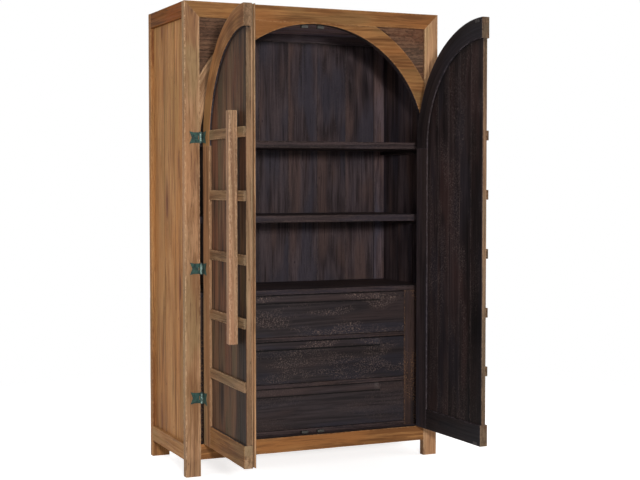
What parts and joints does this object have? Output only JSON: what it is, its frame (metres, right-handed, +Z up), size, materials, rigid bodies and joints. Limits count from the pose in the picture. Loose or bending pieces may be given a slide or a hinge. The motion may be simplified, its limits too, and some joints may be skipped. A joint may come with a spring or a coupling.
{
  "type": "trastero cabinet",
  "caption": "Tall free-standing cabinet with a half-round arch, planked half-arch doors on iron strap hinges, shelves and drawers inside.",
  "frame": {"origin": "on the floor, at the middle of the width, in the upright plane of the door pins; with the doors open as stored, that is within 10 mm of the middle of the whole depth", "axes": "+Z up, -Y out of the front of the cabinet, +X to the right of someone facing the front"},
  "size_m": [1.27, 1.1277, 2.115],
  "materials": {
    "weathered_wood": "oiled, worn",
    "dark_wood": "ebony stain",
    "door_planks": "dark wax",
    "spandrel_wood": "rough-sawn, waxed",
    "verdigris_iron": "verdigris",
    "steel": "zinc plated"
  },
  "bodies": {
    "carcass": {"front_post_left": "weathered_wood", "front_post_right": "weathered_wood", "front_top_rail": "weathered_wood", "front_bottom_rail": "weathered_wood", "back_post_left": "weathered_wood", "back_post_right": "weathered_wood", "back_rails": "weathered_wood", "side_rails_left": "weathered_wood", "side_rails_right": "weathered_wood", "side_panel_left": "weathered_wood", "side_panel_right": "weathered_wood", "arch_left": "weathered_wood", "arch_right": "weathered_wood", "spandrel_left": "spandrel_wood", "spandrel_right": "spandrel_wood", "back_panel": "dark_wood", "ceiling_panel": "dark_wood", "floor_panel": "dark_wood", "upper_shelf": "dark_wood", "lower_shelf": "dark_wood", "shelf_cleats": "dark_wood", "drawer_deck": "dark_wood", "case_stiles": "dark_wood", "case_sides": "dark_wood", "case_rails": "dark_wood", "slide_channels": "steel", "door_catches": "steel", "hinge_pins": "verdigris_iron", "left_hinge_post_leaves": "verdigris_iron", "right_hinge_post_leaves": "verdigris_iron"},
    "left_door": {"left_door_stile": "weathered_wood", "left_door_arch_rail": "weathered_wood", "left_door_bottom_rail": "weathered_wood", "left_door_panel": "door_planks", "left_door_cross_rails": "weathered_wood", "left_door_handle": "weathered_wood", "left_door_strikes": "steel", "left_hinge_door_leaves": "verdigris_iron", "left_door_astragal": "weathered_wood"},
    "right_door": {"right_door_stile": "weathered_wood", "right_door_arch_rail": "weathered_wood", "right_door_bottom_rail": "weathered_wood", "right_door_panel": "door_planks", "right_door_cross_rails": "weathered_wood", "right_door_handle": "weathered_wood", "right_door_strikes": "steel", "right_hinge_door_leaves": "verdigris_iron"},
    "lower_drawer": {"lower_drawer_front": "dark_wood", "lower_drawer_box": "dark_wood", "lower_drawer_bottom": "dark_wood", "lower_drawer_rails": "steel"},
    "middle_drawer": {"middle_drawer_front": "dark_wood", "middle_drawer_box": "dark_wood", "middle_drawer_bottom": "dark_wood", "middle_drawer_rails": "steel"},
    "upper_drawer": {"upper_drawer_front": "dark_wood", "upper_drawer_box": "dark_wood", "upper_drawer_bottom": "dark_wood", "upper_drawer_rails": "steel"}
  },
  "joints": [
    {"name": "left_door_hinge", "type": "hinge", "parent": "carcass", "child": "left_door", "pos_m": [-0.5635, 0, 0.933], "axis": [0, 0, -1], "range_deg": [-92, 83]},
    {"name": "right_door_hinge", "type": "hinge", "parent": "carcass", "child": "right_door", "pos_m": [0.5635, 0, 0.933], "axis": [0, 0, 1], "range_deg": [-92, 83]},
    {"name": "lower_drawer_slide", "type": "slide", "parent": "carcass", "child": "lower_drawer", "axis": [0, -1, 0], "range_m": [0, 0.3]},
    {"name": "middle_drawer_slide", "type": "slide", "parent": "carcass", "child": "middle_drawer", "axis": [0, -1, 0], "range_m": [0, 0.3]},
    {"name": "upper_drawer_slide", "type": "slide", "parent": "carcass", "child": "upper_drawer", "axis": [0, -1, 0], "range_m": [0, 0.3]}
  ]
}
